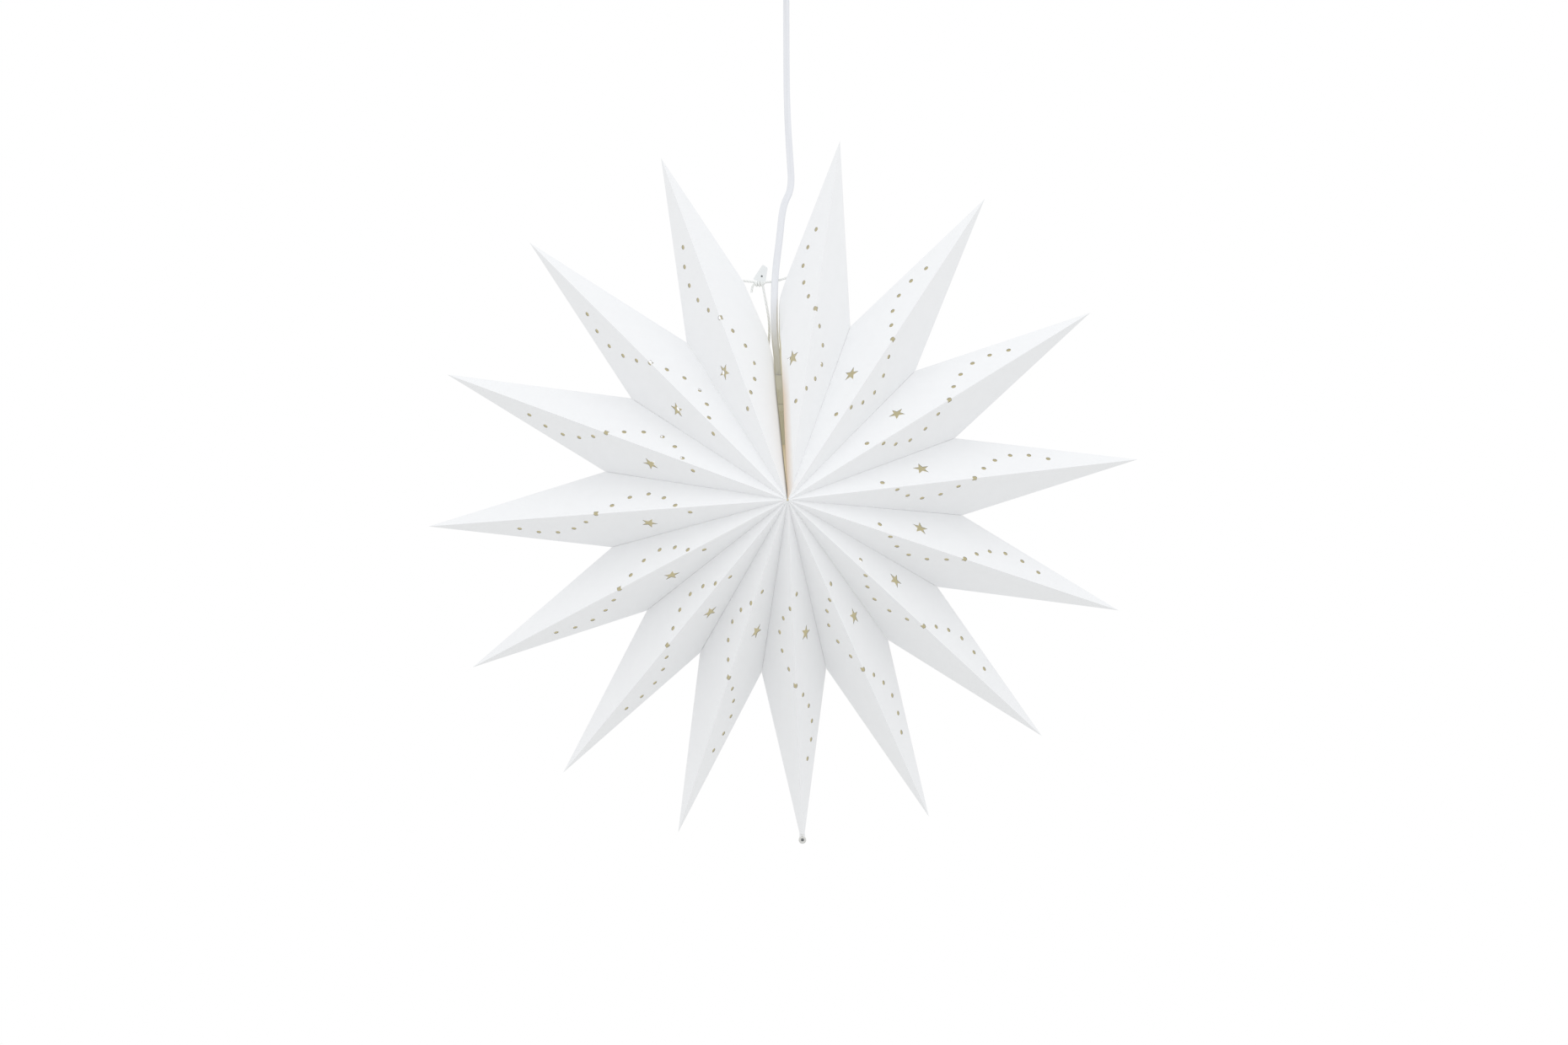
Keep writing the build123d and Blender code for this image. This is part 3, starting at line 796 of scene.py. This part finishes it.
def turned(name, rings, finish, sides=48, middle=0.0, ring_closed=False):
    """A turned piece on an upright axis, drawn as (radius, height) ring by ring. A closed
    ring joins its last ring to its first, and any other piece has its two ends filled."""
    bpy.ops.object.select_all(action="DESELECT")
    bpy.ops.mesh.primitive_circle_add(vertices=sides, radius=rings[0][0],
                                      location=(middle, 0, rings[0][1]))
    piece = bpy.context.object
    piece.name = name
    bpy.ops.object.transform_apply(location=True, rotation=True, scale=True)
    bpy.ops.object.mode_set(mode="EDIT")
    bpy.ops.mesh.select_all(action="SELECT")
    for before, here in zip(rings, rings[1:]):
        bpy.ops.mesh.extrude_region_move(
            TRANSFORM_OT_translate={"value": (0, 0, here[1] - before[1])})
        spread = here[0] / before[0]
        bpy.ops.transform.resize(value=(spread, spread, 1), center_override=(middle, 0, here[1]))
    bpy.ops.mesh.select_all(action="DESELECT")
    bpy.ops.mesh.select_mode(type="EDGE")
    bpy.ops.mesh.select_non_manifold()
    if ring_closed:
        bpy.ops.mesh.bridge_edge_loops()
    else:
        bpy.ops.mesh.fill_holes(sides=0)
    bpy.ops.mesh.select_all(action="SELECT")
    bpy.ops.mesh.normals_make_consistent(inside=False)
    bpy.ops.object.mode_set(mode="OBJECT")
    bpy.ops.object.shade_smooth_by_angle(angle=radians(32))
    piece.data.materials.append(finish)
    return piece


eyelet_ray = clockwise(ridges[pressed_arm])
eyelet_seat = star_centre + eyelet_ray * eyelet_place
facing_front = Matrix.Translation(eyelet_seat) @ Matrix.Rotation(pi / 2, 4, "X")
rolled = [(eyelet_inner, 0.00030), (0.0013, 0.00068), (0.0017, 0.00086), (0.0024, 0.00088),
          (0.0029, 0.00078), (eyelet_outer, 0.00055), (0.0030, 0.00046)]
rings = rolled + [(radius, -height) for radius, height in reversed(rolled)]
eyelet_nickel = metal("eyelet_nickel", (0.70, 0.70, 0.68), 0.38)
rolled_eyelet = turned("rolled_eyelet", rings, eyelet_nickel, ring_closed=True)
rolled_eyelet.data.transform(facing_front)
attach(rolled_eyelet, "root")
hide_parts("tip_eyelet")

# A dark disc across the eyelet's bore stands for the shade in its hole: painted shade.
shade_disc_rings = [(0.0004, 0.0001), (0.0013, 0.0001), (0.0013, -0.0001), (0.0004, -0.0001)]
eyelet_shade_disc = turned("eyelet_shade_disc", shade_disc_rings, shadowed, 24)
eyelet_shade_disc.data.transform(facing_front)
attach(eyelet_shade_disc, "root")

end_half, end_inner = 0.00045, eyelet_inner + 0.0003
end_rings = [(end_inner, end_half), (pressed_half_width, end_half),
             (pressed_half_width, -end_half), (end_inner, -end_half)]
pressed_end = turned("pressed_end", end_rings, white_card, ring_closed=True)
for vertex in pressed_end.data.vertices:
    if vertex.co.y > end_inner + 0.0002:
        vertex.co.y += eyelet_place - pressed_start
lay_along = Matrix((-clockwise(ridges[pressed_arm] + 90), -eyelet_ray, Vector((0, -1, 0))))
pressed_end.data.transform(Matrix.Translation(eyelet_seat) @ lay_along.transposed().to_4x4())
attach(pressed_end, "root")

# --- Lampholder -------------------------------------------------------------------
# Two white plastic mouldings screwed together, a domed cap with the cord's entry and a
# ribbed body, round a rolled metal sleeve with a screw thread and a sprung brass contact.
holder_top = -0.400
holder_side = -0.0066
cap_rings = [(0.0034, 0), (0.0058, 0), (0.0065, -0.0006), (0.0078, -0.0028), (0.0104, -0.0062),
             (0.0128, -0.0092), (0.0138, -0.0112), (0.0140, -0.0130), (0.0140, -0.0233),
             (0.0137, -0.0239), (0.0118, -0.0239), (0.0118, -0.0110), (0.0034, -0.0098)]
body_rings = [(0.0010, -0.0241), (0.0136, -0.0241), (0.0139, -0.0246), (0.0139, -0.0295),
              (0.0134, -0.0302), (0.0132, -0.0312), (0.0124, -0.0570), (0.0121, -0.0580),
              (0.0108, -0.0580), (0.0106, -0.0576), (0.0106, -0.0490), (0.0078, -0.0490),
              (0.0078, -0.0270), (0.0010, -0.0270)]
rib_count, rib_depth = 36, 0.0004
inner_face = 0.0119                # radius within which no rib goes
thread_pitch, thread_depth = 0.0028, 0.00024
thread_run = 0.001                 # over which a thread starts and ends
sleeve_outer, sleeve_wall = 0.0076, 0.0004
sleeve_top, sleeve_low = -0.0272, -0.0489


def at_holder(rings):
    """The rings, given from the holder's top, at their real height."""
    return [(radius, holder_top + height) for radius, height in rings]


def ribbed(piece, low, high):
    """Upright grip ribs between two heights, with shallow valleys between them."""
    for vertex in piece.data.vertices:
        across = Vector((vertex.co.x - holder_side, vertex.co.y))
        if low < vertex.co.z - holder_top < high and across.length > inner_face:
            turn = atan2(across.y, across.x) * rib_count
            sunk = rib_depth * (0.5 - 0.5 * cos(turn))
            across *= 1 - sunk / across.length
            vertex.co.x, vertex.co.y = across.x + holder_side, across.y


def threaded(piece, low, high):
    """A rolled screw thread: a wave of the wall that climbs as it goes round."""
    for vertex in piece.data.vertices:
        across = Vector((vertex.co.x - holder_side, vertex.co.y))
        height = vertex.co.z - holder_top
        fade = min(1, max(0, (height - low) / thread_run))
        fade *= min(1, max(0, (high - height) / thread_run))
        turn = atan2(across.y, across.x) - 2 * pi * height / thread_pitch
        across *= 1 - fade * thread_depth * (0.5 - 0.5 * cos(turn)) / across.length
        vertex.co.x, vertex.co.y = across.x + holder_side, across.y


holder_plastic = moulded("holder_plastic", (0.80, 0.80, 0.78), 0.34)
holder_cap = turned("holder_cap", at_holder(cap_rings), holder_plastic, 144, holder_side,
                    ring_closed=True)
ribbed(holder_cap, -0.0236, -0.0125)
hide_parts("lampholder_cap")
holder_body = turned("holder_body", at_holder(body_rings), holder_plastic, 144, holder_side)
ribbed(holder_body, -0.0572, -0.0305)
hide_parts("lampholder_body")
for piece in (holder_cap, holder_body):
    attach(piece, "root")

sleeve_steps = 44
heights = [sleeve_top + (sleeve_low - sleeve_top) * step / sleeve_steps
           for step in range(sleeve_steps + 1)]
rings = [(sleeve_outer, height) for height in heights]
rings += [(sleeve_outer - sleeve_wall, height) for height in reversed(heights)]
sleeve_brass = metal("sleeve_brass", (0.80, 0.66, 0.38), 0.3)
screw_sleeve = turned("screw_sleeve", at_holder(rings), sleeve_brass, 48, holder_side,
                      ring_closed=True)
threaded(screw_sleeve, sleeve_low + thread_run, sleeve_top - thread_run)
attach(screw_sleeve, "root")
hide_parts("socket_sleeve")

contact_rings = [(0.0010, -0.0271), (0.0024, -0.0271), (0.0026, -0.0274), (0.0022, -0.0282),
                 (0.0017, -0.0289), (0.0012, -0.0292), (0.0004, -0.0292)]
contact_brass = metal("contact_brass", (0.86, 0.70, 0.36), 0.26)
sprung_contact = turned("sprung_contact", at_holder(contact_rings), contact_brass, 32, holder_side)
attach(sprung_contact, "root")
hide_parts("centre_contact")

# --- Bulb -------------------------------------------------------------------------
# A small round bulb of opal glass, lit low, on a rolled metal screw cap with a black
# insulator and a soldered tip.
bulb_middle, bulb_radius = -0.0870, 0.0225
neck_rings = [(0.0062, -0.0491), (0.0078, -0.0492), (0.0084, -0.0496), (0.0086, -0.0506),
              (0.0087, -0.0535), (0.0089, -0.0570), (0.0094, -0.0600), (0.0104, -0.0630),
              (0.0120, -0.0660)]
cap_low, cap_high, cap_radius = -0.0491, -0.0336, 0.0069
cap_steps = 34

glow_glass, tree, place = started_material("opal_glass", 0.28, specular=0.5)
tree.nodes["Principled BSDF"].inputs["Emission Strength"].default_value = 0.30
milk = cloudy(tree, place, scale=35, detail=3)
colour_from(tree, milk, (0.68, 0.66, 0.60), (0.72, 0.70, 0.65))
split_height = tree.nodes.new("ShaderNodeSeparateXYZ")
tree.links.new(place, split_height.inputs["Vector"])
bulb_low = holder_top + bulb_middle - bulb_radius
up_bulb = ranged(tree, split_height.outputs["Z"], 0, 1, bulb_low, holder_top + cap_low)
colour_from(tree, up_bulb, (0.98, 0.80, 0.58), (0.42, 0.30, 0.18), low=0.55, into="Emission Color")

ball_steps, ball_start, ball_sweep = 20, 50, 139.5    # from the neck down, in degrees
ball_rings = []
for step in range(ball_steps + 1):
    rise = radians(ball_start - ball_sweep * step / ball_steps)
    ball_rings.append((bulb_radius * cos(rise), bulb_middle + bulb_radius * sin(rise)))
opal_bulb = turned("opal_bulb", at_holder(neck_rings + ball_rings), glow_glass, 64, holder_side)
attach(opal_bulb, "bulb")
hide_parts("bulb_glass")

rings = [(0.0052, -0.0325), (0.0062, -0.0330)]
rings += [(cap_radius, cap_high + (cap_low - cap_high) * step / cap_steps)
          for step in range(cap_steps + 1)]
cap_nickel = metal("cap_nickel", (0.72, 0.71, 0.69), 0.28)
screw_cap = turned("screw_cap", at_holder(rings), cap_nickel, 48, holder_side)
threaded(screw_cap, cap_low + 0.0015, cap_high)
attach(screw_cap, "bulb")
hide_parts("bulb_cap")

insulator_rings = [(0.0030, -0.0311), (0.0034, -0.0312), (0.0052, -0.0323), (0.0053, -0.0328)]
black_glass = moulded("black_glass", (0.02, 0.02, 0.022), 0.2)
insulator = turned("insulator", at_holder(insulator_rings), black_glass, 40, holder_side)
tip_rings = [(0.0030, -0.0312), (0.0030, -0.0309), (0.0026, -0.0301), (0.0018, -0.0296),
             (0.0006, -0.0295)]
solder = metal("solder", (0.60, 0.61, 0.62), 0.4)
solder_tip = turned("solder_tip", at_holder(tip_rings), solder, 40, holder_side)
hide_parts("bulb_tip")
for piece in (insulator, solder_tip):
    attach(piece, "bulb")

# --- Ceiling cup -------------------------------------------------------------------
# A moulded white plastic cup that hides the fixing. A threaded nylon gland with a thumbscrew
# grips the cord under it, and a hexagon nut holds the gland from inside.
rim_height, cup_floor = -0.0005, -0.0445
round_middle, round_top = 0.030, -0.0365     # of the rounding under the cup's side
round_reach, round_drop = 0.012, 0.008
cup_rings = [(0.0462, rim_height), (0.0477, rim_height), (0.0480, rim_height - 0.0004),
             (0.0479, -0.0030), (0.0472, -0.0036), (0.0470, -0.0050),
             (round_middle + round_reach, round_top)]
for step in range(1, 9):
    turn = radians(90 * step / 8)
    cup_rings.append((round_middle + round_reach * cos(turn), round_top - round_drop * sin(turn)))
cup_rings += [(0.0090, cup_floor), (0.0061, cup_floor + 0.0003), (0.0061, cup_floor + 0.0020),
              (0.0290, cup_floor + 0.0020), (0.0350, -0.0400), (0.0400, -0.0355),
              (0.0455, -0.0050)]
cup_plastic = moulded("cup_plastic", (0.84, 0.84, 0.83), 0.3)
spun_cup = turned("spun_cup", cup_rings, cup_plastic, 96, ring_closed=True)
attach(spun_cup, "cup")
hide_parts("ceiling_cup")

thread_step, thread_top = 0.0008, -0.0383
gland_rings = [(0.0036, -0.0380), (0.0055, -0.0380)]
for step in range(7):
    height = thread_top - thread_step * step
    gland_rings += [(0.0056, height), (0.0060, height - thread_step / 2)]
gland_rings += [(0.0060, -0.0445), (0.0086, -0.0445), (0.0090, -0.0449), (0.0090, -0.0465),
                (0.0086, -0.0470), (0.0060, -0.0470), (0.0058, -0.0610), (0.0050, -0.0625),
                (0.0040, -0.0625), (0.0036, -0.0618)]
nylon = moulded("clear_nylon", (0.76, 0.77, 0.75), 0.4)
cord_grip = turned("cord_grip", gland_rings, nylon, 64, ring_closed=True)
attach(cord_grip, "cup")
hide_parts("cord_gland")

screw_height = -0.0553
head_sides, knurl = 40, 0.93
screw_rings = [(0.0012, 0.0019), (0.00172, 0.0023), (0.00172, 0.0109), (0.0030, 0.0109),
               (0.0034, 0.0112), (0.0034, 0.0136), (0.0030, 0.0139), (0.0006, 0.0139)]
thumbscrew = turned("thumbscrew", screw_rings, nylon, head_sides)
for vertex in thumbscrew.data.vertices:
    column = round(atan2(vertex.co.y, vertex.co.x) / (2 * pi) * head_sides)
    if column % 2 and hypot(vertex.co.x, vertex.co.y) > 0.0032:
        vertex.co.xy *= knurl
lay_forward = Matrix.Rotation(pi / 2, 4, "X")
thumbscrew.data.transform(Matrix.Translation((0, 0, screw_height)) @ lay_forward)
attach(thumbscrew, "cup")
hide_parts("grip_screw")


def finished(node, finish):
    """Gives a piece of the frame its finish."""
    for slot in frame["nodes"][node].material_slots:
        slot.material = finish


finished("gland_nut", nylon)

# --- Ceiling plate ----------------------------------------------------------------
# Zinc-plated steel: the plate that is screwed to the ceiling, and the bent bracket that
# carries the cord's weight by a plastic clip.
plated_steel = metal("plated_steel", (0.64, 0.66, 0.68), 0.42)
finished("ceiling_plate", plated_steel)
finished("cord_bracket", plated_steel)
finished("strain_clip", moulded("clip_plastic", (0.70, 0.71, 0.70), 0.45))

# --- Terminal block and cores -------------------------------------------------------
# A pale plastic terminal block with two slotted brass screws. The cord's two insulated
# cores, blue and brown, go in under them.
block_place, block_screw_pitch = 0.019, 0.012
screw_face, screw_low = -0.0095, -0.0115
finished("terminal_block", moulded("block_plastic", (0.74, 0.73, 0.69), 0.5))

screw_brass = metal("screw_brass", (0.78, 0.63, 0.34), 0.35)
slot_size = (0.0050, 0.0005, 0.0016)
for x in (-block_screw_pitch / 2, block_screw_pitch / 2):
    rings = [(0.0010, screw_face), (0.0018, screw_face), (0.0018, screw_low + 0.0003),
             (0.0015, screw_low), (0.0006, screw_low)]
    screw_head = turned("screw_head", rings, screw_brass, 32)
    bpy.ops.object.select_all(action="DESELECT")
    bpy.ops.mesh.primitive_cube_add(size=1, location=(0, 0, screw_low))
    slot_tool = bpy.context.object
    slot_tool.scale = slot_size
    cut_away(screw_head, slot_tool)
    screw_head.data.transform(Matrix.Translation((x, block_place, 0)))
    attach(screw_head, "root")
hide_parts("terminal_screws")

core_routes = {
    "brown_core": [(-1.6, 0, -17.2), (-1.7, 0.2, -13.6), (-3.2, 3.4, -8.0), (-5.8, 7.4, -7.4),
                   (-6.0, 12.0, -7.5)],
    "blue_core": [(1.6, 0, -17.2), (1.7, 0.2, -13.6), (3.2, 3.4, -8.0), (5.8, 7.4, -7.4),
                  (6.0, 12.0, -7.5)]}
wire_radius = 0.0011
core_shades = {"brown_core": (0.16, 0.07, 0.035), "blue_core": (0.03, 0.10, 0.32)}
for name, route in core_routes.items():
    points = [(x / 1000, y / 1000, z / 1000) for x, y, z in route]
    insulation = jacket(name + "_jacket", core_shades[name], 0.4)
    core = round_run(name, points, wire_radius, insulation, resolution=4)
    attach(core, "root")
    if name == "brown_core":
        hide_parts("cord_cores")
